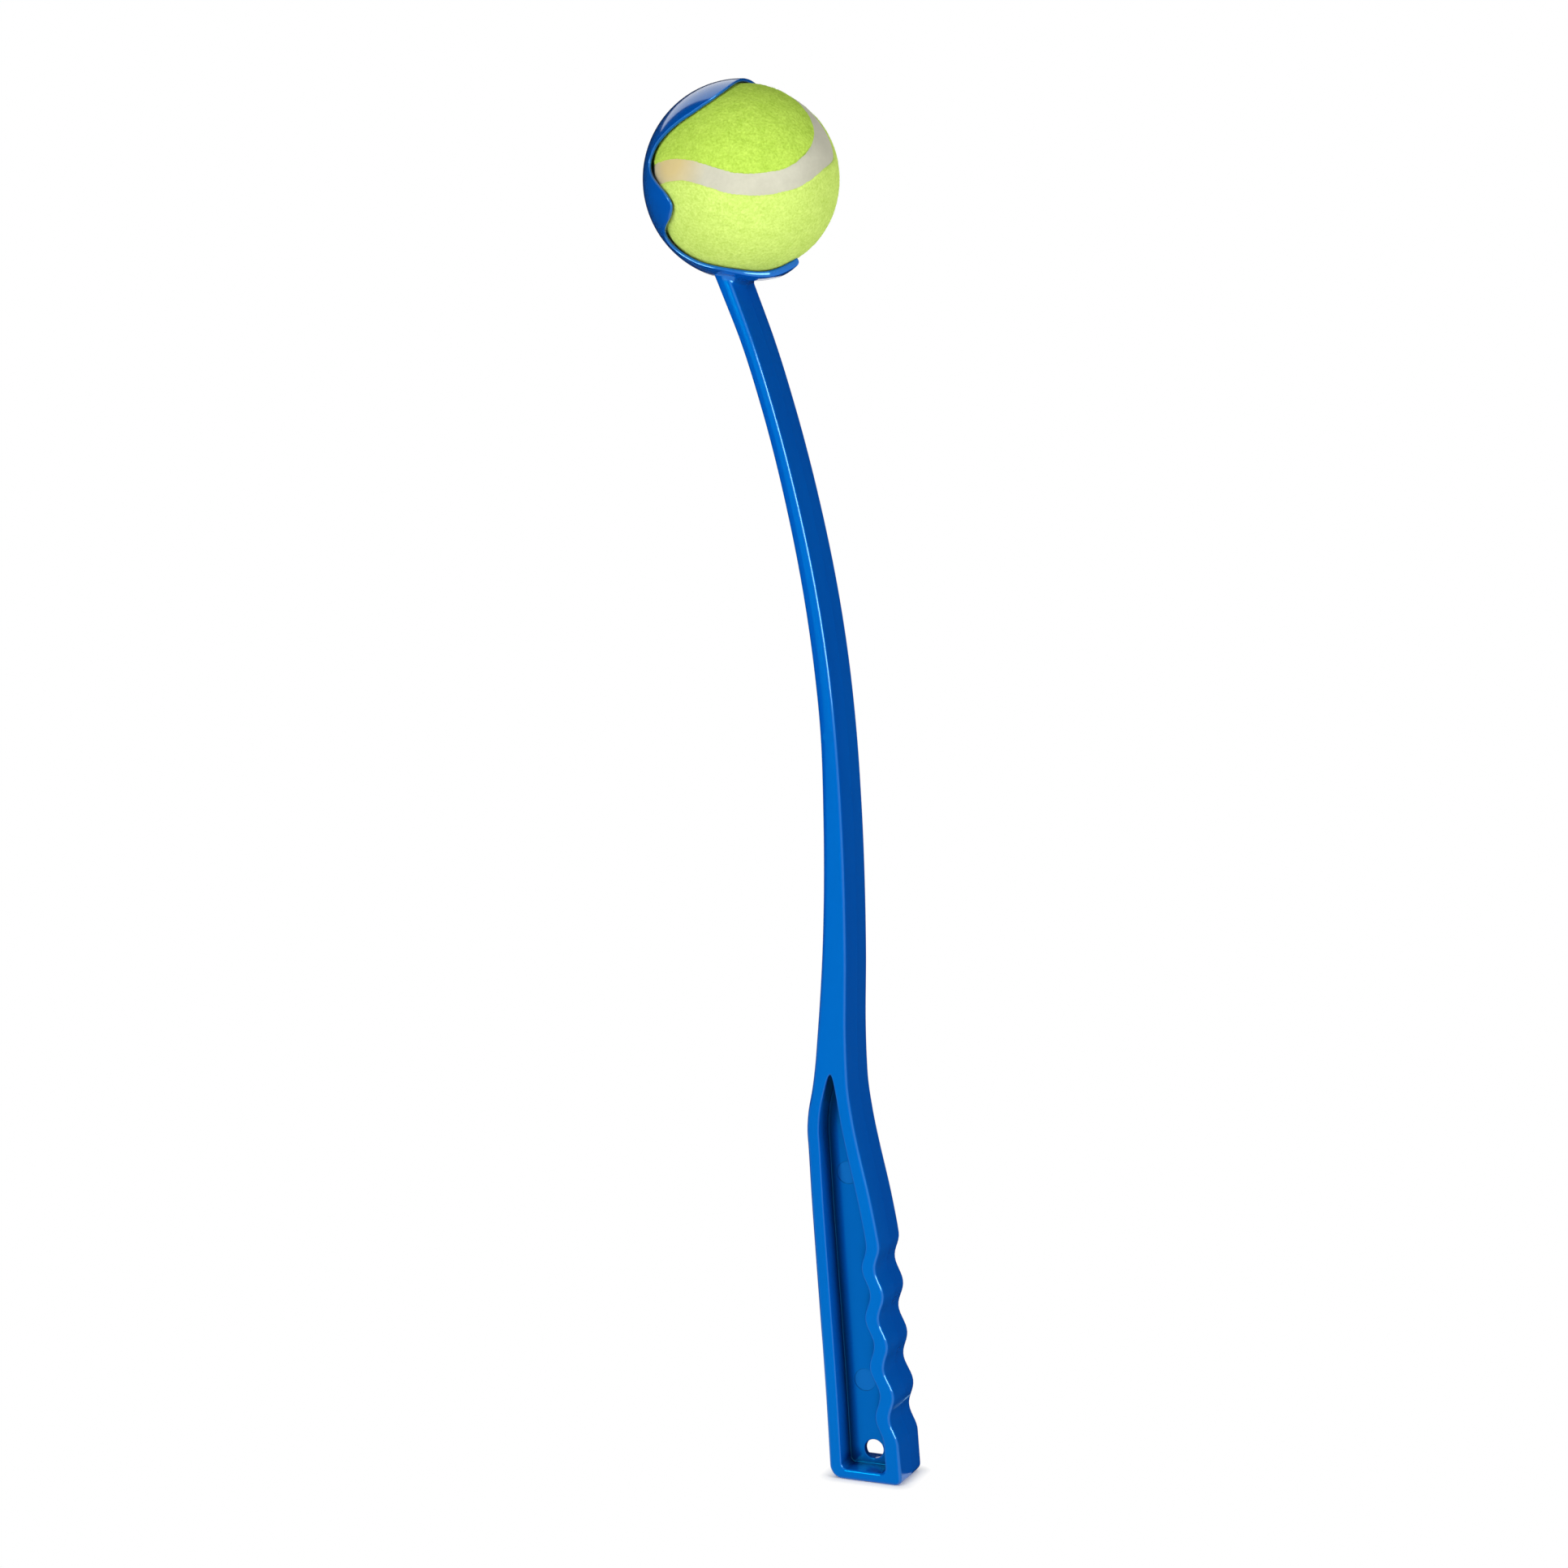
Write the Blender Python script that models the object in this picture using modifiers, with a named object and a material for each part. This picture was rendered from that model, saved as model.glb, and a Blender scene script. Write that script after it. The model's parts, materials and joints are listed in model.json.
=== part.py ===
# Ball thrower for dogs: a felt ball held in an open cup, on a curved springy arm with a hand grip.
# Metres. +X is the front, which the cup opens to, Y runs from side to side and +Z is up.
# The origin is the middle of the hand grip. The thrower is one moulding: its cup, arm and handle
# are modelled as three pieces that meet face to face across a hairline gap.

import math

import bmesh
import bpy
import numpy as np
from mathutils import Euler, Matrix, Vector

# Body outline, which the arm and the handle share
reach = 0.4445              # butt face to the centre of the cup
sweep = 0.0496              # middle of the butt to the centre of the cup, front to back
body_width = 0.0210         # side to side
neck_depth = 0.0048         # front to back, just under the cup
grip_depth = 0.0266         # front to back, at the butt
edge_radius = 0.0015
butt_back_radius = 0.0035
butt_front_radius = 0.0026
grip_height = 0.0550        # butt face to the middle of the hand grip
outline_step = 0.0050       # between points on the smooth part of the outline

# Finger grooves on the front of the grip
groove_count = 4
groove_pitch = 0.0175
groove_depth = 0.00245
first_groove = 0.0232       # butt face to the middle of the lowest groove
groove_points = 7           # to each groove

# Pockets in both sides of the grip, which leave a web between them
web_thickness = 0.0025
pocket_back_wall = 0.0047
pocket_front_wall = 0.0040
pocket_bottom_wall = 0.0036
pocket_top = 0.1425         # butt face to the pocket's upper end
pocket_closing = 0.0100     # height over which the upper end narrows
pocket_corner_radius = 0.0020
pocket_floor_radius = 0.0015
hang_hole_radius = 0.0034
hang_hole_height = 0.0096   # above the butt face
hang_hole_setback = 0.0136  # behind the front of the butt
shoulder = 0.0040           # solid height between the pockets and the arm

# Ball: a rubber core in two halves, two felt panels and the seam between them
ball_radius = 0.0316        # firm felt, without its loose nap
felt_thickness = 0.0028
core_wall = 0.0034
seam_width = 0.0066
seam_sink = 0.0005          # seam below the felt

# Cup
ball_clearance = 0.0009     # all round the ball, filled by its nap
ball_seat_gap = 0.0003      # left at the back of the cup, where the ball is pressed home
lip_clearance = 0.00015     # between the ball and the lips as it leaves
cup_wall = 0.0016
rim_rounding = 0.0004
mouth_tilt_deg = 13.75      # the mouth looks this far above the front
seam_turn_deg = (163.0, -81.6, 23.3)

meeting_gap = 0.0003        # between pieces that touch
overrun = 0.0080            # how far a cutter stands out of what it cuts
weld_distance = 0.00001

# Height above the butt as a share of reach, the middle of the body behind the butt's as a share
# of sweep, and its depth as a share of the way from neck_depth to grip_depth
profile_shares = [
    (0.0000, 1.000, 1.000),
    (0.0675, 0.953, 0.963),
    (0.1080, 0.915, 0.915),
    (0.1480, 0.884, 0.905),
    (0.1870, 0.854, 0.895),
    (0.2200, 0.813, 0.812),
    (0.2616, 0.754, 0.656),
    (0.2763, 0.734, 0.606),
    (0.2886, 0.726, 0.541),
    (0.3100, 0.727, 0.397),
    (0.3273, 0.731, 0.330),
    (0.3487, 0.735, 0.278),
    (0.4121, 0.752, 0.197),
    (0.5251, 0.737, 0.101),
    (0.5883, 0.703, 0.055),
    (0.6367, 0.653, 0.046),
    (0.6988, 0.560, 0.032),
    (0.7462, 0.467, 0.020),
    (0.8313, 0.258, 0.005),
    (0.8796, 0.111, 0.010),
    (0.9235, -0.052, 0.037),
    (1.0000, -0.336, 0.084),
]

# Edge of the cup: how far round it from the finger to the heel, as a share of half a turn, and
# how far it stands from the back of the cup, as a share of a right angle
rim_shares = [
    (0.000, 1.189), (0.078, 1.189), (0.144, 1.172), (0.200, 1.128), (0.244, 1.044),
    (0.272, 0.933), (0.286, 0.811), (0.300, 0.678), (0.328, 0.589), (0.367, 0.550),
    (0.417, 0.561), (0.467, 0.617), (0.517, 0.683), (0.561, 0.706), (0.600, 0.656),
    (0.639, 0.572), (0.683, 0.506), (0.728, 0.500), (0.767, 0.567), (0.794, 0.672),
    (0.822, 0.822), (0.856, 0.944), (0.900, 1.033), (0.950, 1.111), (1.000, 1.178),
]
rim_points = 84
cup_rings = 7

# Course of the seam round the ball: its second wave as a share of the whole
seam_wave_share = 0.260
seam_drift_shares = (-0.027, -0.049, -0.043)    # of the ball's radius, off an even course
seam_points = 84
seam_row_count = 2
panel_column_count = 34
panel_row_count = 12
core_segments = 28

# Worked out from the above
right_angle = math.pi / 2
half_turn = math.pi
cup_inner_radius = ball_radius + ball_clearance
cup_outer_radius = cup_inner_radius + cup_wall
core_radius = ball_radius - felt_thickness - meeting_gap
split_height = pocket_top + shoulder
mouth_turn = right_angle - math.radians(mouth_tilt_deg)
mouth_direction = Vector((math.sin(mouth_turn), 0, math.cos(mouth_turn)))


for old in list(bpy.data.objects):
    bpy.data.objects.remove(old)


def new_collection(name):
    collection = bpy.data.collections.new(name)
    bpy.context.scene.collection.children.link(collection)
    return collection


def finish(name, color, roughness):
    material = bpy.data.materials.new(name)
    material.use_nodes = True
    shader = material.node_tree.nodes["Principled BSDF"]
    shader.inputs["Base Color"].default_value = (*color, 1)
    shader.inputs["Roughness"].default_value = roughness
    shader.inputs["Metallic"].default_value = 0
    return material


def read_shares(shares, at, column):
    # A smooth curve through the rows, whose slope at each is taken from its neighbours
    rows = np.array(shares)
    place = rows[:, 0]
    value = rows[:, column]
    slope = np.gradient(value, place)
    k = int(np.clip(np.searchsorted(place, at) - 1, 0, len(place) - 2))
    span = place[k + 1] - place[k]
    t = (at - place[k]) / span
    rise = t * t * (3 - 2 * t)
    start_pull = t * (1 - t) ** 2 * span
    end_pull = t * t * (t - 1) * span
    level = value[k] * (1 - rise) + value[k + 1] * rise
    return float(level + slope[k] * start_pull + slope[k + 1] * end_pull)


def middle_at(height):
    return sweep * read_shares(profile_shares, height / reach, 1)


def depth_at(height):
    share = read_shares(profile_shares, height / reach, 2)
    return neck_depth + share * (grip_depth - neck_depth)


def groove_at(height):
    turns = (height - first_groove) / groove_pitch
    if abs(turns - (groove_count - 1) / 2) > groove_count / 2:
        return 0
    return groove_depth * (1 + math.cos(2 * math.pi * turns)) / 2


def back_at(height):
    return middle_at(height) - depth_at(height) / 2


def front_at(height):
    return middle_at(height) + depth_at(height) / 2 - groove_at(height)


def heights_between(low, high):
    # Close together along the grooves, further apart elsewhere
    grooves_low = first_groove - groove_pitch / 2
    grooves_high = grooves_low + groove_count * groove_pitch
    heights = [low]
    while heights[-1] < high:
        close = grooves_low - outline_step < heights[-1] < grooves_high
        step = groove_pitch / groove_points if close else outline_step
        heights.append(heights[-1] + step)
    if high - heights[-2] < outline_step / 2:
        heights.pop(-2)
    heights[-1] = high
    return heights


def corner(x, height, radius, start):
    # A quarter circle, whose middle is given and which starts at an angle in quarter turns
    steps = 4
    angles = [(start + step / steps) * right_angle for step in range(steps + 1)]
    return [(x + radius * math.cos(a), height + radius * math.sin(a)) for a in angles]


def body_outline(low, high, butt):
    # Up the front and down the back, with round corners where the outline ends in the butt
    points = []
    front_low = butt_front_radius if butt else low
    back_low = butt_back_radius if butt else low
    if butt:
        back_x = back_at(back_low) + butt_back_radius
        front_x = front_at(front_low) - butt_front_radius
        points += corner(back_x, butt_back_radius, butt_back_radius, 2)[1:]
        points += corner(front_x, butt_front_radius, butt_front_radius, 3)[:-1]
    points += [(front_at(height), height) for height in heights_between(front_low, high)]
    points += [(back_at(height), height) for height in reversed(heights_between(back_low, high))]
    return points


def pocket_outline():
    closing_low = pocket_top - pocket_closing
    low = pocket_bottom_wall
    radius = pocket_corner_radius
    back_x = back_at(low + radius) + pocket_back_wall
    front_x = front_at(low + radius) - pocket_front_wall
    points = corner(back_x + radius, low + radius, radius, 2)[1:]
    points += corner(front_x - radius, low + radius, radius, 3)[:-1]
    levels = heights_between(low + radius, closing_low)
    closing = [right_angle * step / 5 for step in range(1, 5)]
    levels += [closing_low + pocket_closing * math.sin(a) for a in closing]
    front_side = []
    back_side = []
    for height in levels:
        back_x = back_at(height) + pocket_back_wall
        front_x = front_at(height) - pocket_front_wall
        rise = max(height - closing_low, 0) / pocket_closing
        narrowing = (front_x - back_x) / 2 * (1 - math.sqrt(1 - rise * rise))
        front_side.append((front_x - narrowing, height))
        back_side.append((back_x + narrowing, height))
    tip_x = (back_at(pocket_top) + pocket_back_wall + front_at(pocket_top) - pocket_front_wall) / 2
    return points + front_side + [(tip_x, pocket_top)] + back_side[::-1]


def outline_solid(name, collection, points, thickness, rounding, side=0):
    # A flat outline, drawn as front-to-back and height, made as thick as asked from side to side
    curve = bpy.data.curves.new(name, "CURVE")
    curve.dimensions = "2D"
    curve.fill_mode = "BOTH"
    curve.extrude = thickness / 2 - rounding
    curve.bevel_depth = rounding
    curve.bevel_resolution = 1
    curve.offset = -rounding
    spline = curve.splines.new("POLY")
    spline.points.add(len(points) - 1)
    for point, (x, height) in zip(spline.points, points):
        point.co = (x, height, 0, 1)
    spline.use_cyclic_u = True
    drawn = bpy.data.objects.new(name + "_outline", curve)
    collection.objects.link(drawn)
    drawn.location = (-middle_at(grip_height), side, -grip_height)
    drawn.rotation_euler = (right_angle, 0, 0)
    bpy.context.view_layer.update()
    evaluated = drawn.evaluated_get(bpy.context.evaluated_depsgraph_get())
    mesh = bpy.data.meshes.new_from_object(evaluated)
    solid = bpy.data.objects.new(name, mesh)
    solid.matrix_world = drawn.matrix_world.copy()
    collection.objects.link(solid)
    bpy.data.objects.remove(drawn)
    bpy.data.curves.remove(curve)
    shape = bmesh.new()
    shape.from_mesh(mesh)
    bmesh.ops.remove_doubles(shape, verts=shape.verts, dist=weld_distance)
    bmesh.ops.recalc_face_normals(shape, faces=shape.faces)
    shape.to_mesh(mesh)
    shape.free()
    return solid


def new_solid(name, collection, shape, location=(0, 0, 0), rotation=(0, 0, 0)):
    mesh = bpy.data.meshes.new(name)
    bmesh.ops.recalc_face_normals(shape, faces=shape.faces)
    shape.to_mesh(mesh)
    shape.free()
    solid = bpy.data.objects.new(name, mesh)
    solid.location = location
    solid.rotation_euler = rotation
    collection.objects.link(solid)
    return solid


def smooth(solid, material):
    solid.data.materials.clear()
    solid.data.materials.append(material)
    solid.data.shade_smooth()
    solid.data.set_sharp_from_angle(angle=math.radians(35))


def as_cutter(solid):
    solid.hide_render = True
    solid.display_type = "WIRE"
    return solid


def cut(solid, cutter):
    modifier = solid.modifiers.new("cut_" + cutter.name, "BOOLEAN")
    modifier.operation = "DIFFERENCE"
    modifier.solver = "EXACT"
    modifier.object = cutter


def round_bar(name, collection, radius, length, location, rotation):
    shape = bmesh.new()
    bmesh.ops.create_cone(shape, cap_ends=True, segments=64, radius1=radius, radius2=radius, depth=length)
    return new_solid(name, collection, shape, location, rotation)


def block(name, collection, low_height, high_height):
    # Wider than the body and as high as asked
    shape = bmesh.new()
    bmesh.ops.create_cube(shape, size=1)
    span = 2 * (sweep + grip_depth)
    size = (span, body_width + 2 * overrun, high_height - low_height)
    bmesh.ops.transform(shape, matrix=Matrix.Diagonal((*size, 1)), verts=shape.verts)
    middle = (low_height + high_height) / 2 - grip_height
    return new_solid(name, collection, shape, (0, 0, middle))


def make_handle(parts, cutters):
    points = body_outline(0, split_height + overrun, butt=True)
    handle = outline_solid("handle", parts, points, body_width, edge_radius)
    top = block("above_handle", cutters, split_height - meeting_gap / 2, split_height + 2 * overrun)
    cut(handle, as_cutter(top))
    cutter_depth = (body_width - web_thickness) / 2 + overrun
    middle = (web_thickness + cutter_depth) / 2
    for side, name in ((-1, "near_pocket"), (1, "far_pocket")):
        pocket = outline_solid(name, cutters, pocket_outline(), cutter_depth, pocket_floor_radius,
                               side * middle)
        cut(handle, as_cutter(pocket))
    hole_x = front_at(0) - hang_hole_setback - middle_at(grip_height)
    place = (hole_x, 0, hang_hole_height - grip_height)
    hole = round_bar("hang_hole", cutters, hang_hole_radius, body_width, place, (right_angle, 0, 0))
    cut(handle, as_cutter(hole))
    smooth(handle, finish("handle_plastic", (0.0, 0.165, 0.580), 0.28))


def make_arm(parts, cutters, cup_centre):
    # Drawn on into the cup, whose outer sphere then trims its upper end
    inside_cup = reach - cup_outer_radius / 2
    points = body_outline(split_height - overrun, inside_cup, butt=False)
    arm = outline_solid("throwing_arm", parts, points, body_width, edge_radius)
    below = block("below_arm", cutters, split_height - 2 * overrun, split_height + meeting_gap / 2)
    cut(arm, as_cutter(below))
    shape = bmesh.new()
    bmesh.ops.create_uvsphere(shape, u_segments=96, v_segments=48, radius=cup_outer_radius + meeting_gap)
    room = new_solid("room_for_cup", cutters, shape, cup_centre, (0, mouth_turn, 0))
    cut(arm, as_cutter(room))
    smooth(arm, finish("arm_plastic", (0.0, 0.165, 0.580), 0.28))


def rim_angles():
    # Points spaced evenly along the cup's edge, each as an angle round the mouth and one from its back
    fine = 40
    turns = np.linspace(-1, 1, rim_points * fine + 1)
    lifts = np.array([read_shares(rim_shares, abs(turn), 1) for turn in turns])
    around = turns * half_turn
    away = lifts * right_angle
    steps = np.hypot(np.diff(away), np.sin((away[1:] + away[:-1]) / 2) * np.diff(around))
    run = np.concatenate([[0], np.cumsum(steps)])
    places = np.linspace(0, run[-1], rim_points + 1)
    return list(zip(np.interp(places, run, around), np.interp(places, run, away)))


def grid(columns, rows, place):
    # A flat grid whose points are moved to place(share along, share across)
    shape = bmesh.new()
    bmesh.ops.create_grid(shape, x_segments=columns, y_segments=rows, size=0.5)
    for vert in shape.verts:
        vert.co = place(vert.co.x + 0.5, vert.co.y + 0.5)
    bmesh.ops.remove_doubles(shape, verts=shape.verts, dist=weld_distance)
    return shape


def thicken(solid, thickness, rounding=0, segments=0):
    shell = solid.modifiers.new("thickness", "SOLIDIFY")
    shell.thickness = thickness
    shell.offset = -1
    if not rounding:
        return
    edges = solid.modifiers.new("edges", "BEVEL")
    edges.width = rounding
    edges.segments = segments
    edges.limit_method = "ANGLE"
    edges.angle_limit = math.radians(50)


def make_cup(parts, cutters, cup_centre):
    rim = rim_angles()

    def place(along, across):
        around, away = rim[round(along * rim_points)]
        polar = away * across
        side = math.sin(polar)
        return cup_outer_radius * Vector((-side * math.cos(around), side * math.sin(around), -math.cos(polar)))

    shape = grid(rim_points, cup_rings, place)
    cup = new_solid("ball_cup", parts, shape, cup_centre, (0, mouth_turn, 0))
    thicken(cup, cup_wall, rim_rounding, 2)
    length = cup_outer_radius + overrun
    bore = round_bar("way_out", cutters, ball_radius + lip_clearance, length,
                     cup_centre + mouth_direction * length / 2, (0, mouth_turn, 0))
    cut(cup, as_cutter(bore))
    smooth(cup, finish("cup_plastic", (0.0, 0.165, 0.580), 0.28))


def seam_at(t):
    # A closed wave that divides the sphere into two like panels
    b = seam_wave_share
    a = 1 - b
    x = a * math.cos(t) + b * math.cos(3 * t)
    y = a * math.sin(t) - b * math.sin(3 * t)
    z = 2 * math.sqrt(a * b) * math.sin(2 * t)
    return (Vector((x, y, z)) + Vector(seam_drift_shares)).normalized()


def beside_seam(t, offset):
    # A point on the unit sphere to one side of the seam, by an angle
    here = seam_at(t)
    step = half_turn / 1000
    along = (seam_at(t + step) - seam_at(t - step)).normalized()
    return (here * math.cos(offset) + here.cross(along) * math.sin(offset)).normalized()


def half_shell(name, collection):
    # Turned from a profile that runs down its outer side and up its inner one
    steps = core_segments // 4
    rim_height = meeting_gap / 2

    def arc(radius):
        low = math.asin(rim_height / radius)
        angles = [right_angle + (low - right_angle) * step / steps for step in range(steps + 1)]
        return [(radius * math.cos(a), 0, radius * math.sin(a)) for a in angles]

    profile = arc(core_radius) + arc(core_radius - core_wall)[::-1]
    mesh = bpy.data.meshes.new(name)
    mesh.from_pydata(profile, [(k, k + 1) for k in range(len(profile) - 1)], [])
    half = bpy.data.objects.new(name, mesh)
    collection.objects.link(half)
    screw = half.modifiers.new("turned", "SCREW")
    screw.axis = "Z"
    screw.steps = core_segments
    screw.render_steps = core_segments
    screw.use_merge_vertices = True
    screw.merge_threshold = weld_distance
    return half


def make_ball(parts, ball_centre):
    turn = [math.radians(angle) for angle in seam_turn_deg]
    channel = (seam_width / 2 + meeting_gap) / ball_radius

    for name, start, facing in (("felt_panel_front", -0.25, 1), ("felt_panel_rear", 0.25, -1)):
        def place(along, across, start=start, facing=facing):
            ahead = beside_seam(start * half_turn + along * half_turn, facing * channel)
            behind = beside_seam(start * half_turn - along * half_turn, facing * channel)
            return (ahead.lerp(behind, across)).normalized() * ball_radius

        shape = grid(panel_column_count, panel_row_count, place)
        panel = new_solid(name, parts, shape, ball_centre, turn)
        thicken(panel, felt_thickness, rim_rounding, 1)
        smooth(panel, finish(name + "_felt", (0.42, 0.72, 0.06), 0.95))

    def ribbon(along, across):
        offset = (across - 0.5) * seam_width / ball_radius
        return beside_seam(2 * half_turn * along, offset) * (ball_radius - seam_sink)

    strip = new_solid("seam_strip", parts, grid(seam_points, seam_row_count, ribbon), ball_centre, turn)
    thicken(strip, felt_thickness - seam_sink)
    smooth(strip, finish("seam_rubber", (0.68, 0.66, 0.60), 0.8))

    upper = Euler(turn).to_matrix()
    lower = upper @ Matrix.Rotation(half_turn, 3, "X")
    for name, turned in (("core_half_upper", upper), ("core_half_lower", lower)):
        half = half_shell(name, parts)
        half.location = ball_centre
        half.rotation_euler = turned.to_euler()
        smooth(half, finish(name + "_rubber", (0.05, 0.05, 0.05), 0.7))


def main():
    parts = new_collection("dog_ball_thrower")
    cutters = new_collection("cutters")
    cup_centre = Vector((-middle_at(grip_height), 0, reach - grip_height))
    ball_centre = cup_centre - mouth_direction * (ball_clearance - ball_seat_gap)
    make_handle(parts, cutters)
    make_arm(parts, cutters, cup_centre)
    make_cup(parts, cutters, cup_centre)
    make_ball(parts, ball_centre)


main()
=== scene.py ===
# Looks of a ball thrower for dogs: one glossy blue moulding with a wavy-edged cup, a curved arm and a
# hand grip with finger grooves, and a felt ball pressed into the cup.
# Metres. +X is the front, which the cup opens to, Y runs from side to side and +Z is up.

import json
import math

import bmesh
import bpy
import numpy as np
from mathutils import Euler, Matrix, Vector, noise


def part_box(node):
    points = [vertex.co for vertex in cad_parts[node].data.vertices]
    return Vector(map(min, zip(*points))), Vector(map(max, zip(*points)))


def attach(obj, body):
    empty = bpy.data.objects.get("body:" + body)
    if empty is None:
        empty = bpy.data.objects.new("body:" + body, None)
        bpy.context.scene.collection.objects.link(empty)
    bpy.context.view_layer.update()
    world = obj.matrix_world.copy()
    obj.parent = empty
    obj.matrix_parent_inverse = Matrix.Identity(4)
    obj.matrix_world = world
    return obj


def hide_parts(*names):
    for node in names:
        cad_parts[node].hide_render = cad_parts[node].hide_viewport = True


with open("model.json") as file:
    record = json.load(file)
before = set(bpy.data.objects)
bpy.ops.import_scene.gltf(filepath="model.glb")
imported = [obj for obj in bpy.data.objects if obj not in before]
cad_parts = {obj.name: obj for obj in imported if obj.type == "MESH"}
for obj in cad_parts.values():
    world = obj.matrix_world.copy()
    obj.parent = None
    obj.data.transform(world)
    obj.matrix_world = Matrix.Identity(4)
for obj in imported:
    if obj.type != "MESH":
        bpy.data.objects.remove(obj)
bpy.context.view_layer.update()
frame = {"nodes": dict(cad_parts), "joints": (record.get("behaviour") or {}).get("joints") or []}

scene = bpy.context.scene
rightAngle = math.pi / 2
wholeTurn = 2 * math.pi
weldDistance = 1e-6

# Places that the frame gives
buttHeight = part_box("handle")[0].z
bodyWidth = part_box("handle")[1].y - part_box("handle")[0].y
mouth = Vector(frame["joints"][0]["axis"]).normalized()


# Small helpers for shapes

def unit(vectors):
    return vectors / np.linalg.norm(vectors, axis=-1, keepdims=True)


def smoothRise(value, low, high):
    t = np.clip((value - low) / (high - low), 0, 1)
    return t * t * (3 - 2 * t)


def readShares(shares, at, column):
    # A smooth curve through the rows, whose slope at each is taken from its neighbours
    rows = np.array(shares)
    place = rows[:, 0]
    value = rows[:, column]
    slope = np.gradient(value, place)
    k = np.clip(np.searchsorted(place, at) - 1, 0, len(place) - 2)
    span = place[k + 1] - place[k]
    t = (at - place[k]) / span
    rise = t * t * (3 - 2 * t)
    level = value[k] * (1 - rise) + value[k + 1] * rise
    return level + slope[k] * t * (1 - t) ** 2 * span + slope[k + 1] * t * t * (t - 1) * span


def objectFrom(name, shape):
    bmesh.ops.remove_doubles(shape, verts=shape.verts, dist=weldDistance)
    bmesh.ops.recalc_face_normals(shape, faces=shape.faces)
    mesh = bpy.data.meshes.new(name)
    shape.to_mesh(mesh)
    shape.free()
    piece = bpy.data.objects.new(name, mesh)
    scene.collection.objects.link(piece)
    return piece


def addPatch(shape, points):
    # A grid of points as quads; a closed band repeats its first column at its end
    rows = [[shape.verts.new(point) for point in row] for row in points]
    for low, high in zip(rows, rows[1:]):
        for k in range(len(low) - 1):
            shape.faces.new((low[k], low[k + 1], high[k + 1], high[k]))
    return rows


def closeRing(ring):
    return np.concatenate([ring, ring[..., :1, :]], axis=-2)


def addTube(shape, rings, highCap=True):
    # Rings of equal count, closed at the ends by one face each; a last ring that is a point needs none
    rows = addPatch(shape, closeRing(rings))
    shape.faces.new(rows[0][:-1])
    if highCap:
        shape.faces.new(rows[-1][:-1])


def boolean(piece, other, operation="DIFFERENCE"):
    modifier = piece.modifiers.new(other.name, "BOOLEAN")
    modifier.operation = operation
    modifier.solver = "EXACT"
    modifier.object = other
    other.hide_render = True


def applyAll(piece):
    # Modifiers become plain mesh
    bpy.context.view_layer.update()
    evaluated = piece.evaluated_get(bpy.context.evaluated_depsgraph_get())
    mesh = bpy.data.meshes.new_from_object(evaluated)
    old = piece.data
    piece.modifiers.clear()
    piece.data = mesh
    mesh.name = piece.name
    bpy.data.meshes.remove(old)


# Body: the arm and the grip in one. Heights in its functions count from the butt

bodyShape = {
    "reach": 0.4445,            # butt face to the centre of the cup
    "sweep": 0.0496,            # front to back, of the curve that the middle of the body follows
    "neckDepth": 0.0048,
    "gripDepth": 0.0266,
    "edgeRadius": 0.0015,
    "edgeSteps": 7,
    "buttFrontRadius": 0.0026,
    "buttBackRadius": 0.0046,
    "buttSteps": 8,
    "rowStep": 0.0013,
    "sideColumns": 10,
    "faceShares": (0.66, 0.33),     # of the half width, where the front and the back have columns
    "partingRidge": 0.00006,    # the line where the two halves of the mould met
    "partingWidth": 0.00035,
    "draftDeg": 1.0,            # by which the front and back lean away from that line
    "sideCrown": 0.00008,       # of the arm's narrow sides, and the heights over which it sets in
    "crownRise": (0.200, 0.320),
    "grooveCount": 4,
    "groovePitch": 0.0175,
    "grooveDepth": 0.00245,
    "firstGroove": 0.0232,
    "neckBase": 0.0450,         # below the centre of the cup, where the neck starts to flare
    "neckStep": 0.0005,         # below that, to measure the arm's slope
    "neckRows": 12,
    "frontFillet": 0.0026,
    "sideFillet": 0.0008,
    "filletRows": 9,
    "rootDepth": 0.0008,        # how far the arm's end is sunk into the cup's wall
    "rootShares": (0, 0.25, 0.5, 0.75, 1),
    "sharpDeg": 40,             # edges past this stay sharp
    "flatWeight": 80,           # how much the large faces count in the shading of their edges
    # height, middle and depth, as shares of reach, of sweep and of the way from neck to grip depth
    "profileShares": [
        (0.0000, 1.000, 1.000), (0.0675, 0.953, 0.963), (0.1080, 0.915, 0.915),
        (0.1480, 0.884, 0.905), (0.1870, 0.854, 0.895), (0.2200, 0.813, 0.812),
        (0.2616, 0.754, 0.656), (0.2763, 0.734, 0.606), (0.2886, 0.726, 0.541),
        (0.3100, 0.727, 0.397), (0.3273, 0.731, 0.330), (0.3487, 0.735, 0.278),
        (0.4121, 0.752, 0.197), (0.5251, 0.737, 0.101), (0.5883, 0.703, 0.055),
        (0.6367, 0.653, 0.046), (0.6988, 0.560, 0.032), (0.7462, 0.467, 0.020),
        (0.8313, 0.258, 0.005), (0.8796, 0.111, 0.010), (0.9235, -0.052, 0.037),
        (1.0000, -0.336, 0.084),
    ],
}


def middleAt(height):
    s = bodyShape
    return s["sweep"] * readShares(s["profileShares"], height / s["reach"], 1)


def depthAt(height):
    s = bodyShape
    share = readShares(s["profileShares"], height / s["reach"], 2)
    return s["neckDepth"] + share * (s["gripDepth"] - s["neckDepth"])


def grooveAt(height):
    s = bodyShape
    turns = (height - s["firstGroove"]) / s["groovePitch"]
    inside = np.abs(turns - (s["grooveCount"] - 1) / 2) <= s["grooveCount"] / 2
    return np.where(inside, s["grooveDepth"] * (1 + np.cos(wholeTurn * turns)) / 2, 0)


def backAt(height):
    return middleAt(height) - depthAt(height) / 2


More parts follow.
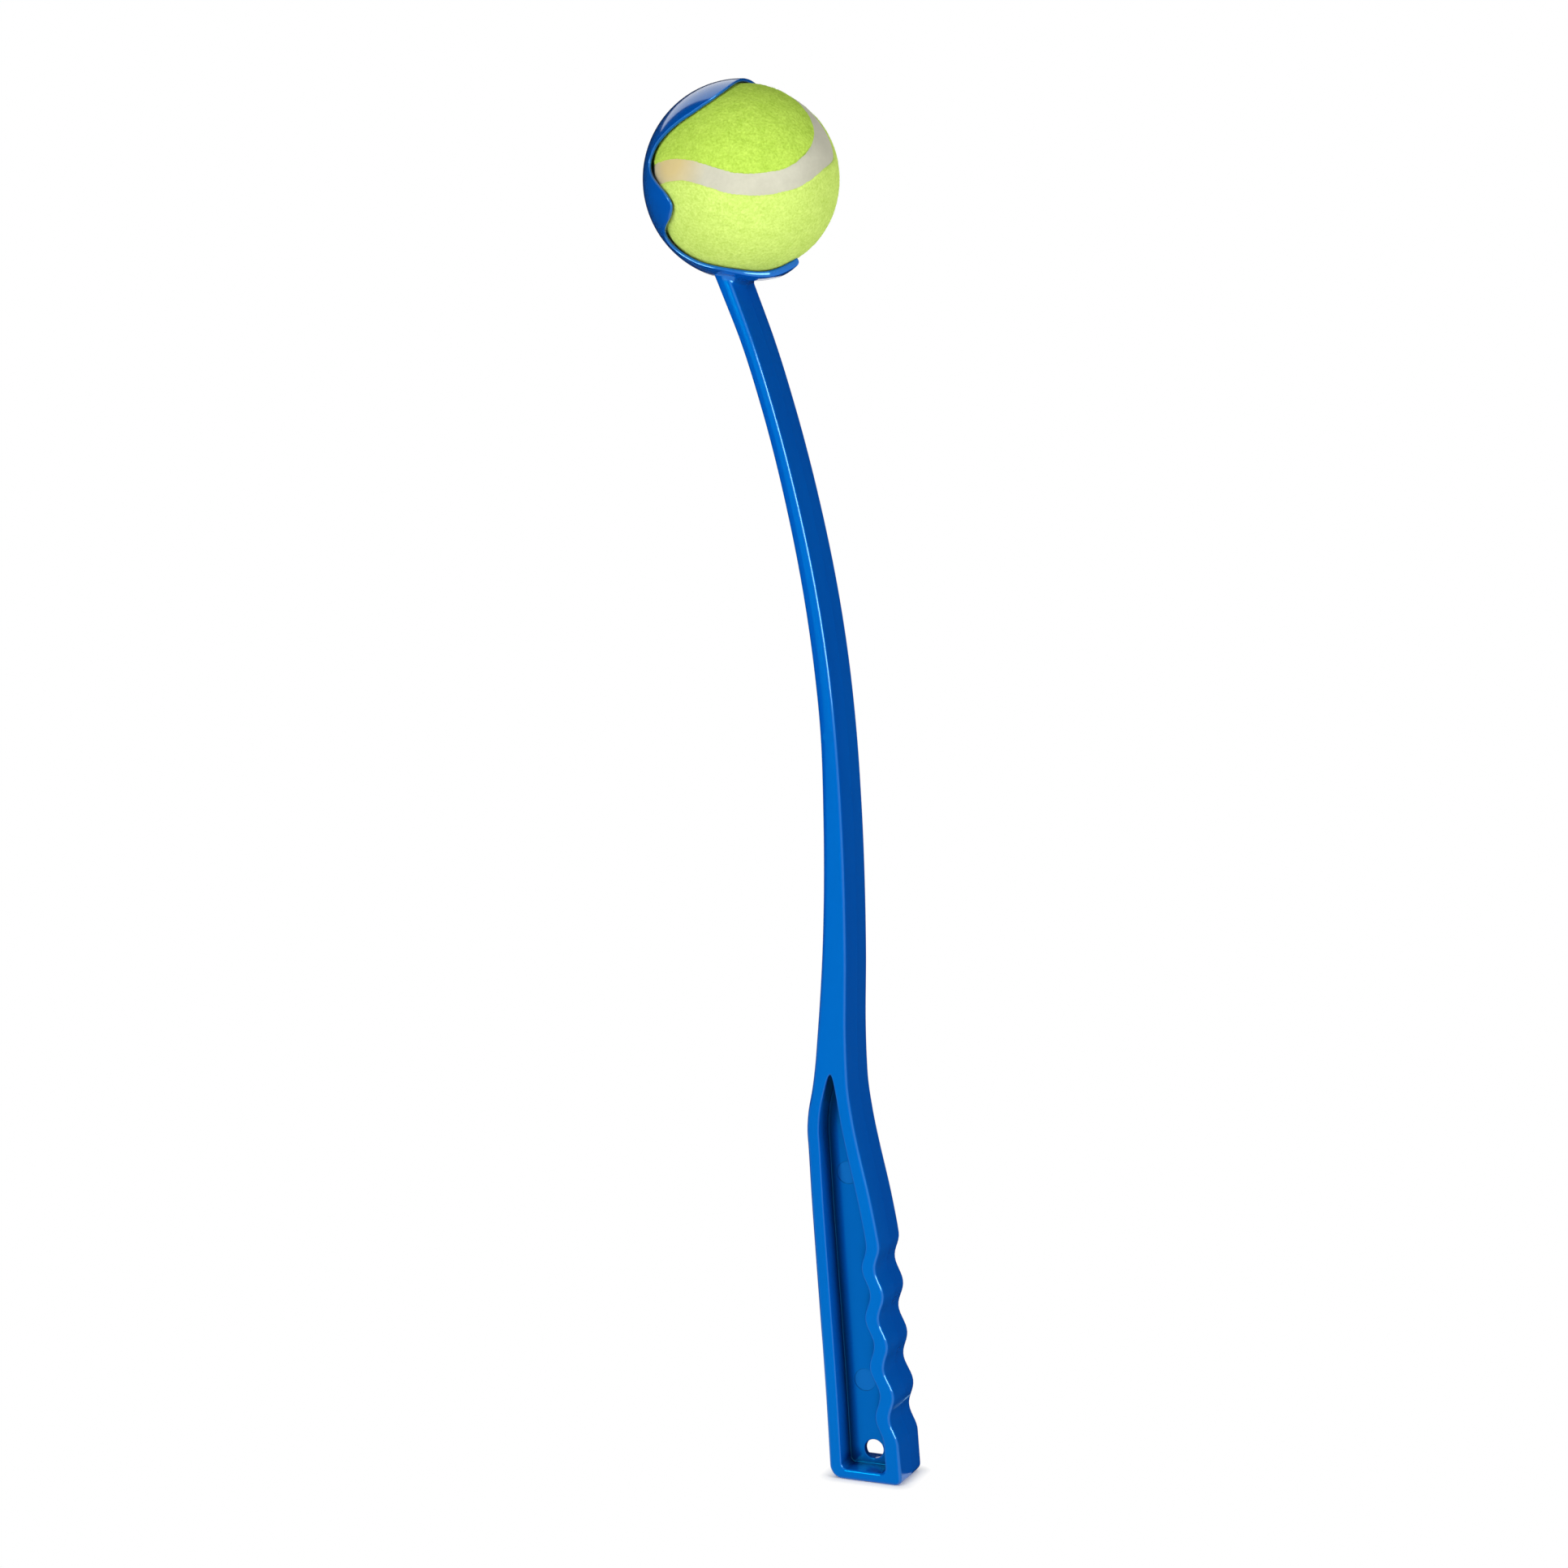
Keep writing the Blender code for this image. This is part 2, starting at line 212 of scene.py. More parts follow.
def frontAt(height):
    return middleAt(height) + depthAt(height) / 2 - grooveAt(height)


bodyOffset = float(middleAt(-buttHeight))
cupCentre = Vector((-bodyOffset, 0, bodyShape["reach"] + buttHeight))


def bodySection(ridgeHeight):
    # One ring round the body: share from back to front, distance beyond that, and side to side
    s = bodyShape
    r = s["edgeRadius"]
    half = bodyWidth / 2
    flat = half - r
    arc = np.linspace(0, rightAngle, s["edgeSteps"] + 1)
    across = np.linspace(0, 1, s["sideColumns"] + 1)[1:-1]
    ridge = s["partingWidth"] / 2
    band = np.array([-flat * share for share in s["faceShares"]] + [-ridge, -ridge / 2, 0])
    band = np.concatenate([band, -band[-2::-1]])
    draft = math.tan(math.radians(s["draftDeg"]))
    lift = draft * (flat / 2 - np.abs(band))
    lift += ridgeHeight * np.clip(1 - np.abs(band) / ridge, 0, 1)
    corner = r - draft * flat / 2
    ring = [(u, 0, -half) for u in across]
    ring += [(1, corner * math.sin(a), -flat - r * math.cos(a)) for a in arc]
    ring += [(1, r + more, y) for more, y in zip(lift, band)]
    ring += [(1, corner * math.cos(a), flat + r * math.sin(a)) for a in arc]
    ring += [(u, 0, half) for u in across[::-1]]
    ring += [(0, -corner * math.sin(a), flat + r * math.cos(a)) for a in arc]
    ring += [(0, -r - more, y) for more, y in zip(lift[::-1], band[::-1])]
    ring += [(0, -corner * math.cos(a), -flat - r * math.sin(a)) for a in arc]
    return np.array(ring)


def rounded(radius, height):
    # How far a rounded lower edge is drawn in at a height above the butt
    left = np.clip(radius - height, 0, radius)
    return radius - np.sqrt(radius ** 2 - left ** 2)


def bodyRings(heights, section):
    s = bodyShape
    h = np.array(heights)[:, None]
    back = backAt(h) + rounded(s["buttBackRadius"], h)
    front = frontAt(h) - rounded(s["buttFrontRadius"], h)
    r = s["edgeRadius"]
    share, beyond, side = section.T
    x = back + r + (front - back - 2 * r) * share + beyond
    crown = s["sideCrown"] * 4 * share * (1 - share) * smoothRise(h, *s["crownRise"])
    y = side * (1 - rounded(r, h) / (bodyWidth / 2)) + np.sign(side) * crown
    return np.stack([x - bodyOffset, y, h + buttHeight + 0 * x], axis=-1)


# Cup: its upper lip is called the finger here, and its lower lip the heel

cupShape = {
    "innerRadius": 0.03235,
    "wall": 0.0011,
    "heelFlare": 0.00020,       # of the heel's inside, outwards
    "heelBulge": 0.00135,       # of its outside, and by how much more its outer edge is rounded
    "heelRounding": 0.00120,
    "heelFrom": (0.80, 0.90),   # how far round, and how far from the back, these take effect
    "heelRise": (0.82, 1.15),
    "rimRounding": 0.00040,
    "rimSteps": 5,
    "rimFineness": 40,          # places to measure between two columns
    "columns": 260,
    "rings": 44,
    # how far round from the finger to the heel, and how far from the back, as shares of half a turn
    # and of a right angle
    "rimShares": [
        (0.000, 1.175), (0.060, 1.175), (0.120, 1.165), (0.180, 1.125), (0.232, 1.035),
        (0.264, 0.915), (0.282, 0.775), (0.300, 0.640), (0.328, 0.556), (0.367, 0.524),
        (0.417, 0.545), (0.467, 0.605), (0.517, 0.675), (0.561, 0.700), (0.600, 0.650),
        (0.639, 0.560), (0.683, 0.492), (0.728, 0.478), (0.757, 0.487), (0.784, 0.540),
        (0.809, 0.630), (0.826, 0.705), (0.841, 0.800), (0.858, 0.877), (0.883, 0.950),
        (0.908, 0.997), (0.935, 1.040), (0.961, 1.090), (0.979, 1.158), (0.991, 1.222),
        (1.000, 1.262),
    ],
}
cupOuter = cupShape["innerRadius"] + cupShape["wall"]


def waysFromCup(polar, around):
    # Directions from the cup's centre, by the angle from its back and the angle round from the finger
    side = np.sin(polar)
    local = np.stack([-side * np.cos(around), side * np.sin(around), -np.cos(polar)], axis=-1)
    leaning = np.array(Matrix.Rotation(math.atan2(mouth.x, mouth.z), 3, "Y"))
    return local @ leaning.T


def rimAngles(count):
    # Places spaced evenly along the cup's edge, each as an angle round the mouth and one from its back
    turns = np.linspace(-1, 1, count * cupShape["rimFineness"] + 1)
    away = readShares(cupShape["rimShares"], np.abs(turns), 1) * rightAngle
    around = turns * math.pi
    steps = np.hypot(np.diff(away), np.sin((away[1:] + away[:-1]) / 2) * np.diff(around))
    run = np.concatenate([[0], np.cumsum(steps)])
    places = np.linspace(0, run[-1], count + 1)
    return np.interp(places, run, around), np.interp(places, run, away)


def lipAt(polar, around):
    # 1 where the heel is at its thickest and 0 away from it
    s = cupShape
    turned = smoothRise(np.abs(around) / math.pi, *s["heelFrom"])
    return turned * smoothRise(polar / rightAngle, *s["heelRise"])


def makeCup():
    s = cupShape
    around, away = rimAngles(s["columns"])
    lip = lipAt(away, around)
    outside = cupOuter + s["heelBulge"] * lip
    inside = s["innerRadius"] + s["heelFlare"] * lip
    outerRound = s["rimRounding"] + s["heelRounding"] * lip
    innerRound = s["rimRounding"]
    share = np.linspace(0, 1, s["rings"])[:, None]
    lipThere = lipAt(away * share, around)
    outer = (cupOuter + s["heelBulge"] * lipThere)[..., None]
    outer = outer * waysFromCup((away - outerRound / outside) * share, around + 0 * share)
    inner = (s["innerRadius"] + s["heelFlare"] * lipThere)[..., None]
    inner = inner * waysFromCup((away - innerRound / inside) * share, around + 0 * share)
    arc = np.linspace(0, rightAngle, s["rimSteps"])[:, None]
    radius = np.concatenate([outside - outerRound + outerRound * np.cos(arc),
                             inside + innerRound - innerRound * np.sin(arc)])
    past = np.concatenate([-outerRound + outerRound * np.sin(arc),
                           -innerRound + innerRound * np.cos(arc) + 0 * away])
    rim = radius[..., None] * waysFromCup(away + past / radius, around + 0 * past)
    shape = bmesh.new()
    for patch in (outer, rim, inner[::-1]):
        addPatch(shape, patch + np.array(cupCentre))
    return objectFrom("cup_shell", shape)


def neckRings(section):
    # From the last level ring of the arm, up its own slope and round a fillet onto the cup's sphere
    s = bodyShape
    base = s["reach"] - s["neckBase"]
    low, high = bodyRings([base - s["neckStep"], base], section)
    plain = bodyRings([base], bodySection(0))[0]
    up = unit(high - low)
    out = unit(np.cross(np.roll(plain, -1, axis=0) - np.roll(plain, 1, axis=0), up))
    fillet = s["sideFillet"] + (s["frontFillet"] - s["sideFillet"]) * np.clip(out[:, :1], 0, 1) ** 2
    centre = np.array(cupCentre)
    gap = high + out * fillet - centre
    lean = np.sum(gap * up, axis=-1, keepdims=True)
    short = np.sum(gap ** 2, axis=-1, keepdims=True)
    reachUp = -lean - np.sqrt(lean ** 2 - short + (cupOuter + fillet) ** 2)
    middle = high + up * reachUp + out * fillet
    toSphere = unit(centre - middle)
    rings = [high + up * reachUp * share for share in np.linspace(0, 1, s["neckRows"])[1:]]
    angle = np.arccos(np.clip(np.sum(-out * toSphere, axis=-1, keepdims=True), -1, 1))
    for share in np.linspace(0, 1, s["filletRows"])[1:]:
        bend = (np.sin((1 - share) * angle) * -out + np.sin(share * angle) * toSphere) / np.sin(angle)
        rings.append(middle + fillet * bend)
    root = unit(rings[-1] - centre)
    mean = root.mean(axis=0)
    for share in s["rootShares"]:
        sunk = unit(root * (1 - share) + mean * share)
        rings.append(centre + sunk * (cupOuter - s["rootDepth"]))
    return np.array(rings)


# Pocket in each side of the grip

pocketShape = {
    "web": 0.0025,              # what stands between the two pockets
    "backWall": 0.0047,
    "frontWall": 0.0057,
    "frontThinning": 0.0008,    # of that wall, from the butt to the pocket's top
    "bottomWall": 0.0038,
    "top": 0.1425,
    "closing": 0.0100,          # over which it narrows to a tip
    "closingSteps": 12,
    "cornerRadius": 0.0020,
    "floorRadius": 0.0003,
    "rimRadius": 0.0009,
    "rimStartDeg": 12,          # that rounding starts this steep, so that the cutter doesn't graze the side
    "rimLift": 0.0001,          # by which the cutter stands proud of the side
    "steps": 6,
    "rowStep": 0.0012,
}


def pocketFrontAt(height):
    p = pocketShape
    return frontAt(height) - p["frontWall"] + p["frontThinning"] * height / p["top"]


def pocketLoop(inset):
    # The pocket's outline, drawn in by inset all round
    p = pocketShape
    low = p["bottomWall"] + p["cornerRadius"]
    radius = p["cornerRadius"] - inset
    closingLow = p["top"] - p["closing"]
    arc = np.linspace(0, rightAngle, p["steps"] + 1)
    backCorner = backAt(low) + p["backWall"] + p["cornerRadius"]
    frontCorner = pocketFrontAt(low) - p["cornerRadius"]
    points = [(backCorner - radius * math.cos(a), low - radius * math.sin(a)) for a in arc[1:]]
    points += [(frontCorner + radius * math.sin(a), low - radius * math.cos(a)) for a in arc[:-1]]
    rows = int((closingLow - low) / p["rowStep"])
    levels = list(np.linspace(low, closingLow, rows))
    narrowing = [1] * rows
    for a in np.linspace(0, rightAngle, p["closingSteps"])[1:-1]:
        levels.append(closingLow + (p["closing"] - inset) * math.sin(a))
        narrowing.append(math.cos(a))
    levels = np.array(levels)
    backX = backAt(levels) + p["backWall"] + inset
    frontX = pocketFrontAt(levels) - inset
    middle = (backX + frontX) / 2
    halfWidth = (frontX - backX) / 2 * np.array(narrowing)
    tip = closingLow + p["closing"] - inset
    points += list(zip(middle + halfWidth, levels))
    points.append(((backAt(tip) + p["backWall"] + pocketFrontAt(tip)) / 2, tip))
    points += list(zip(middle - halfWidth, levels))[::-1]
    return np.array(points)


def makePocketCutter(side):
    # Flares at the rim, so that its edge comes out rounded, and has a fillet round its floor
    p = pocketShape
    rim = p["rimRadius"]
    floor = p["floorRadius"]
    lift = p["rimLift"]
    deep = (bodyWidth - p["web"]) / 2
    start = math.radians(p["rimStartDeg"])
    back = (rim * (1 - math.cos(start)) + lift) / math.sin(start)
    steps = [(-rim * (1 - math.sin(start)) - back * math.cos(start), -lift)]
    for a in np.linspace(start, rightAngle, p["steps"]):
        steps.append((-rim * (1 - math.sin(a)), rim * (1 - math.cos(a))))
    for a in np.linspace(0, rightAngle, p["steps"] + 1):
        steps.append((floor * (1 - math.cos(a)), deep - floor * (1 - math.sin(a))))
    rings = []
    for inset, depth in steps:
        loop = pocketLoop(inset)
        y = np.full(len(loop), side * (bodyWidth / 2 - depth))
        rings.append(np.stack([loop[:, 0] - bodyOffset, y, loop[:, 1] + buttHeight], axis=-1))
    shape = bmesh.new()
    addTube(shape, np.array(rings))
    return objectFrom("pocket_cutter", shape)


# Round cuts: the hang hole, and marks that ejector pins left on the near side

roundCuts = {
    "holeRadius": 0.0034,
    "holeHeight": 0.0091,
    "holeSetback": 0.0136,      # from the front at the butt
    "holeRounding": 0.0004,
    "holeStartDeg": 15,
    "holeSteps": 4,
    "holeFlare": (0.0006, 0.00016),     # of the cutter past the web's face: wider by, and higher by
    # x, z, radius and depth of the marks on the web and on the arm
    "webMarks": [(-0.0054, 0.0517, 0.0041, 0.00018), (0.0012, -0.0214, 0.0040, 0.00018)],
    "armMarks": [(-0.0094, 0.2040, 0.0021, 0.00012)],
    "markLift": 0.0002,         # by which their cutters stand proud
    "segments": 72,
}


def makeRound(name, x, z, stations):
    # A turned cutter whose axis runs from side to side: stations are (radius, y)
    angle = np.linspace(0, wholeTurn, roundCuts["segments"], endpoint=False)
    rings = [np.stack([x + radius * np.cos(angle), 0 * angle + y, z + radius * np.sin(angle)], axis=-1)
             for radius, y in stations]
    shape = bmesh.new()
    addTube(shape, np.array(rings))
    return objectFrom(name, shape)


def makeHole():
    c = roundCuts
    half = pocketShape["web"] / 2
    r = c["holeRounding"]
    angles = np.linspace(math.radians(c["holeStartDeg"]), rightAngle, c["holeSteps"])
    upper = [(c["holeRadius"] + r * (1 - math.sin(a)), half - r * (1 - math.cos(a))) for a in angles]
    wider, higher = c["holeFlare"]
    upper.insert(0, (upper[0][0] + wider, half + higher))
    stations = upper + [(radius, -y) for radius, y in upper[::-1]]
    x = frontAt(0.0) - c["holeSetback"] - bodyOffset
    return makeRound("hole_cutter", x, c["holeHeight"] + buttHeight, stations)


def makeMarks(marks, face):
    lift = roundCuts["markLift"]
    return [makeRound("mark_cutter", x, z, [(radius, face - lift), (radius, face + depth)])
            for x, z, radius, depth in marks]


# Moulding: body and cup in one piece

def shadeMoulding(moulding):
    # Smooth, with flat faces kept flat up to their rounded edges
    moulding.data.shade_smooth()
    moulding.data.set_sharp_from_angle(angle=math.radians(bodyShape["sharpDeg"]))
    weighted = moulding.modifiers.new("flatFaces", "WEIGHTED_NORMAL")
    weighted.mode = "FACE_AREA"
    weighted.weight = bodyShape["flatWeight"]
    weighted.keep_sharp = True


def makeMoulding(plastic):
    s = bodyShape
    section = bodySection(s["partingRidge"])
    lowRadius = s["buttBackRadius"]
    corner = [lowRadius * (1 - math.cos(a)) for a in np.linspace(0, rightAngle, s["buttSteps"] + 1)]
    top = s["reach"] - s["neckBase"]
    rows = int((top - lowRadius) / s["rowStep"])
    heights = corner + list(np.linspace(lowRadius, top, rows)[1:])
    rings = np.concatenate([bodyRings(heights, section), neckRings(section)])
    shape = bmesh.new()
    addTube(shape, rings, highCap=False)
    moulding = objectFrom("blue_moulding", shape)
    cutters = [makePocketCutter(-1), makePocketCutter(1), makeHole()]
    cutters += makeMarks(roundCuts["webMarks"], -pocketShape["web"] / 2)
    cutters += makeMarks(roundCuts["armMarks"], -bodyWidth / 2)
    for cutter in cutters:
        boolean(moulding, cutter)
    cup = makeCup()
    boolean(moulding, cup, "UNION")
    applyAll(moulding)
    for tool in cutters + [cup]:
        bpy.data.objects.remove(tool)
    shadeMoulding(moulding)
    moulding.data.materials.clear()
    moulding.data.materials.append(plastic)
    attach(moulding, "thrower")
    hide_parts("ball_cup", "throwing_arm", "handle")
    print("moulding", len(moulding.data.polygons), "faces")


# Ball

ballShape = {
    "radius": 0.03185,
    "forward": 0.0008,          # its centre from the cup's, towards the mouth
    "sink": 0.0002,             # and downwards
    "turnDeg": (147.1845, -79.1915, 31.594),
}
ballCentre = cupCentre + mouth * ballShape["forward"] - Vector((0, 0, ballShape["sink"]))
ballTurn = np.array(Euler([math.radians(angle) for angle in ballShape["turnDeg"]]).to_matrix())


def onBall(directions, radius):
    return (directions * radius) @ ballTurn.T + np.array(ballCentre)


def noiseAt(directions, size, seed):
    # One soft noise value for each point of the ball
    scale = ballShape["radius"] / size
    shift = Vector((seed, 2.3 * seed, 5.1 * seed))
    flat = directions.reshape(-1, 3) * scale
    values = [noise.noise(Vector(point) + shift) for point in flat]
    return np.array(values).reshape(directions.shape[:-1])


# Seam between the two felt panels

seamShape = {
    "waveShare": 0.2624,
    "driftShares": (-0.0800, -0.0674, -0.0800),
    # place along the seam in radians, how far it strays to one side there, and its width, both as
    # shares of its usual width
    "strays": [
        (0.10, 0.00, 1.00), (0.28, 0.00, 1.03), (0.45, 0.03, 1.12), (0.62, 0.05, 1.22),
        (0.72, 0.00, 1.24), (0.82, -0.08, 1.18), (0.92, -0.08, 1.10), (1.02, -0.03, 1.02),
        (1.12, -0.01, 1.00), (1.20, 0.04, 1.00), (1.29, 0.09, 0.98), (1.36, 0.10, 0.95),
        (1.44, 0.04, 0.94), (1.52, -0.03, 0.94), (1.60, -0.08, 0.94), (1.68, -0.09, 0.96),
        (1.76, -0.03, 1.00), (1.88, 0.07, 1.02), (2.10, 0.04, 1.02), (2.40, 0.00, 1.00),
        (2.60, 0.00, 1.00), (2.90, -0.15, 1.00), (3.20, -0.55, 1.00), (3.50, -0.75, 1.00),
        (3.80, -0.60, 1.00), (4.10, -0.20, 1.00), (4.40, 0.00, 1.00), (4.60, 0.00, 1.00),
    ],
    # place, and by how much more the edge of the front panel keeps away there
    "spreads": [
        (0.10, 0.00), (0.28, 0.30), (0.45, 0.58), (0.55, 0.68), (0.62, 0.56), (0.68, 0.28),
        (0.74, 0.03), (0.82, 0.00), (1.00, 0.00),
    ],
    "width": 0.0070,
    "sink": 0.0005,
    "crown": 0.00015,
    "depth": 0.0018,
    "under": 0.0008,            # by which it runs on under each felt edge
    "points": 560,
    "rows": 16,
    "sharpDeg": 50,
}


def evenSeamAt(t):
    # A closed wave that divides the sphere into two like panels
    b = seamShape["waveShare"]
    a = 1 - b
    wave = np.stack([a * np.cos(t) + b * np.cos(3 * t), a * np.sin(t) - b * np.sin(3 * t),
                     2 * math.sqrt(a * b) * np.sin(2 * t)], axis=-1)
    return unit(wave + np.array(seamShape["driftShares"]))


def besideLine(line, t, offset):
    # Points on the unit sphere to one side of a line on it, by an angle
    here = line(t)
    step = math.pi / 1000
    along = unit(line(t + step) - line(t - step))
    offset = np.asarray(offset)[..., None]
    return unit(here * np.cos(offset) + np.cross(here, along) * np.sin(offset))


def strayAt(table, t, column):
    rows = seamShape[table]
    return readShares(rows, np.clip(np.mod(t, wholeTurn), rows[0][0], rows[-1][0]), column)


def seamAt(t):
    return besideLine(evenSeamAt, t, strayAt("strays", t, 1) * seamShape["width"] / ballShape["radius"])


def halfSeamAt(t, facing):
    # From the seam's middle to its edge on one side
    more = strayAt("spreads", t, 1) * (facing > 0)
    return seamShape["width"] * (strayAt("strays", t, 2) / 2 + more)


def makeSeam(rubber):
    s = seamShape
    radius = ballShape["radius"]
    t = np.linspace(0, wholeTurn, s["points"] + 1)[:, None]
    across = np.linspace(-1, 1, s["rows"])[None, :]
    halfWidth = halfSeamAt(t, across) + s["under"]
    ways = besideLine(seamAt, t + 0 * across, across * halfWidth / radius + 0 * t)
    top = radius - s["sink"] + s["crown"] * (1 - across ** 2) + 0 * t
    bottom = radius - s["depth"] + 0 * top
    rings = np.concatenate([onBall(ways, top[..., None]), onBall(ways, bottom[..., None])[:, ::-1]], axis=1)
    shape = bmesh.new()
    addPatch(shape, closeRing(rings))
    seam = objectFrom("ball_seam", shape)
    seam.data.shade_smooth()
    seam.data.set_sharp_from_angle(angle=math.radians(s["sharpDeg"]))
    seam.data.materials.append(rubber)
    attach(seam, "ball")
    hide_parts("seam_strip")
    print("seam", len(seam.data.polygons), "faces")


# Felt panels

feltShape = {
    "edgeGap": 0.00005,         # between the panel's edge and the seam's
    "wander": 0.00022,          # of the cut edge
    "wanderSize": 0.0030,
    "roll": 0.0012,             # over which the edge turns down
    "drop": 0.0009,
    "depth": 0.0020,
    "columns": 300,
    "rows": 130,
    "tipSearch": 0.4,           # radians along the seam, to either side of where a tip is expected
    "tipPlaces": 161,
    "tipStep": 0.08,
    "borderPoints": 900,
    "borderParts": 30,          # taken one after another, to save memory
    "tuftSize": 0.0008,
    "tuftHeight": 0.00013,
    "lumpSize": 0.0040,
    "lumpHeight": 0.00007,
    "fibreCount": 2700,         # loose fibres on each panel
    "fibreLength": (0.0008, 0.0016),
    "fibreRise": (0.00012, 0.00045),
    "fibreSunk": 0.00004,
    "fibreWidths": (0.00008, 0.00007, 0.00003),
    "fibreClear": 0.0007,       # from the panel's edge
    # where one tip is along the seam, in half turns, on which side of it the panel lies, and a seed
    "panels": {"felt_front": (-0.25, 1, 1), "felt_rear": (0.25, -1, 2)},
}


def sharpestTurn(near):
    # Where the seam bends most, close to a place along it
    s = feltShape
    t = np.linspace(near - s["tipSearch"], near + s["tipSearch"], s["tipPlaces"])
    here = seamAt(t)
    ahead = seamAt(t + s["tipStep"]) - here
    behind = here - seamAt(t - s["tipStep"])
    bend = np.linalg.norm(np.cross(ahead, behind), axis=-1) / np.linalg.norm(ahead, axis=-1) ** 3
    return float(t[np.argmax(bend)])


def addFibres(panel, ways, height, distance, seed):
    # Loose fibres that lean over the felt, as thin ribbons of two faces each
    s = feltShape
    rng = np.random.default_rng(seed)
    alongStep = ways[1:, :-1] - ways[:-1, :-1]
    acrossStep = ways[:-1, 1:] - ways[:-1, :-1]
    area = np.linalg.norm(np.cross(alongStep, acrossStep), axis=-1) * (distance[:-1, :-1] > s["fibreClear"])
    cells = rng.choice(area.size, s["fibreCount"], p=area.ravel() / area.sum())
    row, column = np.unravel_index(cells, area.shape)
    share = rng.random((2, len(cells), 1))
    root = unit(ways[row, column] + alongStep[row, column] * share[0] + acrossStep[row, column] * share[1])
    lean = unit(np.cross(root, rng.normal(size=root.shape)))
    side = np.cross(root, lean)
    length = rng.uniform(*s["fibreLength"], (len(cells), 1))
    rise = rng.uniform(*s["fibreRise"], (len(cells), 1))
    low = height[row, column][:, None] - s["fibreSunk"]
    shape = bmesh.new()
    shape.from_mesh(panel.data)
    ribs = []
    for along, width in zip((0, 0.5, 1), s["fibreWidths"]):
        middle = root * (low + rise * along * (2 - along)) + lean * length * along
        ribs.append([onBall(middle - side * width / 2, 1.0), onBall(middle + side * width / 2, 1.0)])
    for k in range(len(cells)):
        pairs = [[shape.verts.new(edge[k]) for edge in rib] for rib in ribs]
        for (a, b), (c, d) in zip(pairs, pairs[1:]):
            shape.faces.new((a, b, d, c))
    shape.to_mesh(panel.data)
    shape.free()


def makeFelt(name, felt):
    s = feltShape
    start, facing, seed = s["panels"][name]
    radius = ballShape["radius"]

    def edge(t):
        wander = noiseAt(seamAt(t), s["wanderSize"], seed) * s["wander"]
        return besideLine(seamAt, t, facing * (halfSeamAt(t, facing) + s["edgeGap"] + wander) / radius)

    tip = sharpestTurn(start * math.pi)
    span = sharpestTurn(start * math.pi + math.pi) - tip
    along = np.linspace(0, 1, s["columns"])
    across = np.linspace(0, 1, s["rows"])[:, None]
    ahead = edge(tip + along * span)[:, None]
    behind = edge(tip - along * (wholeTurn - span))[:, None]
    ways = unit(ahead * (1 - across) + behind * across)
    border = edge(np.linspace(0, wholeTurn, s["borderPoints"]))
    flat = ways.reshape(-1, 3)
    nearest = np.full(len(flat), np.inf)
    for part in np.array_split(border, s["borderParts"]):
        nearest = np.minimum(nearest, np.linalg.norm(flat[:, None] - part[None], axis=-1).min(axis=1))
    distance = nearest.reshape(ways.shape[:-1]) * radius
    inward = np.clip(1 - distance / s["roll"], 0, 1)
    drop = s["drop"] * (1 - np.sqrt(1 - inward ** 2))
    tufts = noiseAt(ways, s["tuftSize"], seed + 7) + 0.5 * noiseAt(ways, s["tuftSize"] / 2, seed + 9)
    lumps = noiseAt(ways, s["lumpSize"], seed + 11)
    height = radius - drop + tufts * s["tuftHeight"] + lumps * s["lumpHeight"]
    top = onBall(ways, height[..., None])
    bottom = onBall(ways, (height - s["depth"])[..., None])
    shape = bmesh.new()
    addPatch(shape, closeRing(np.concatenate([top, bottom[:, ::-1]], axis=1)))
    panel = objectFrom(name, shape)
    addFibres(panel, ways, height, distance, seed)
    panel.data.shade_smooth()
    panel.data.materials.append(felt)
    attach(panel, "ball")
    print(name, len(panel.data.polygons), "faces")
    return panel


# Small helpers for materials

def addNode(tree, kind, values=(), **settings):
    node = tree.nodes.new("ShaderNode" + kind)
    for setting, value in settings.items():
        setattr(node, setting, value)
    for socket, value in dict(values).items():
        if isinstance(value, bpy.types.NodeSocket):
            tree.links.new(value, node.inputs[socket])
        else:
            node.inputs[socket].default_value = value
    return node


def mathNode(tree, operation, a, b=0.0):
    return addNode(tree, "Math", {0: a, 1: b}, operation=operation).outputs[0]


def times(tree, a, b):
    return mathNode(tree, "MULTIPLY", a, b)


def vectorMath(tree, operation, a, b=(0, 0, 0)):
    return addNode(tree, "VectorMath", {0: a, 1: b}, operation=operation).outputs


def distanceTo(tree, place, point):
    return vectorMath(tree, "DISTANCE", place, point)["Value"]


def separate(tree, vector):
    return addNode(tree, "SeparateXYZ", {0: vector}).outputs


def textureCoordinates(tree, kind="Object"):
    return addNode(tree, "TexCoord").outputs[kind]


def noiseNode(tree, place, scale, detail=2.0, roughness=0.5):
    values = {"Vector": place, "Scale": scale, "Detail": detail, "Roughness": roughness}
    return addNode(tree, "TexNoise", values).outputs["Fac"]


def spread(tree, value, low, high, toLow=0.0, toHigh=1.0):
    # Stretches a range of values to another, and stops at its ends
    values = {"Value": value, "From Min": low, "From Max": high, "To Min": toLow, "To Max": toHigh}
    return addNode(tree, "MapRange", values).outputs["Result"]


def mixColors(tree, amount, low, high):
    # Inputs 6 and 7 and output 2 of the node are the ones for colours
    node = addNode(tree, "Mix", {"Factor": amount}, data_type="RGBA")
    for socket, value in ((6, low), (7, high)):
        if isinstance(value, bpy.types.NodeSocket):
            tree.links.new(value, node.inputs[socket])
        else:
            node.inputs[socket].default_value = (*value, 1)
    return node.outputs[2]


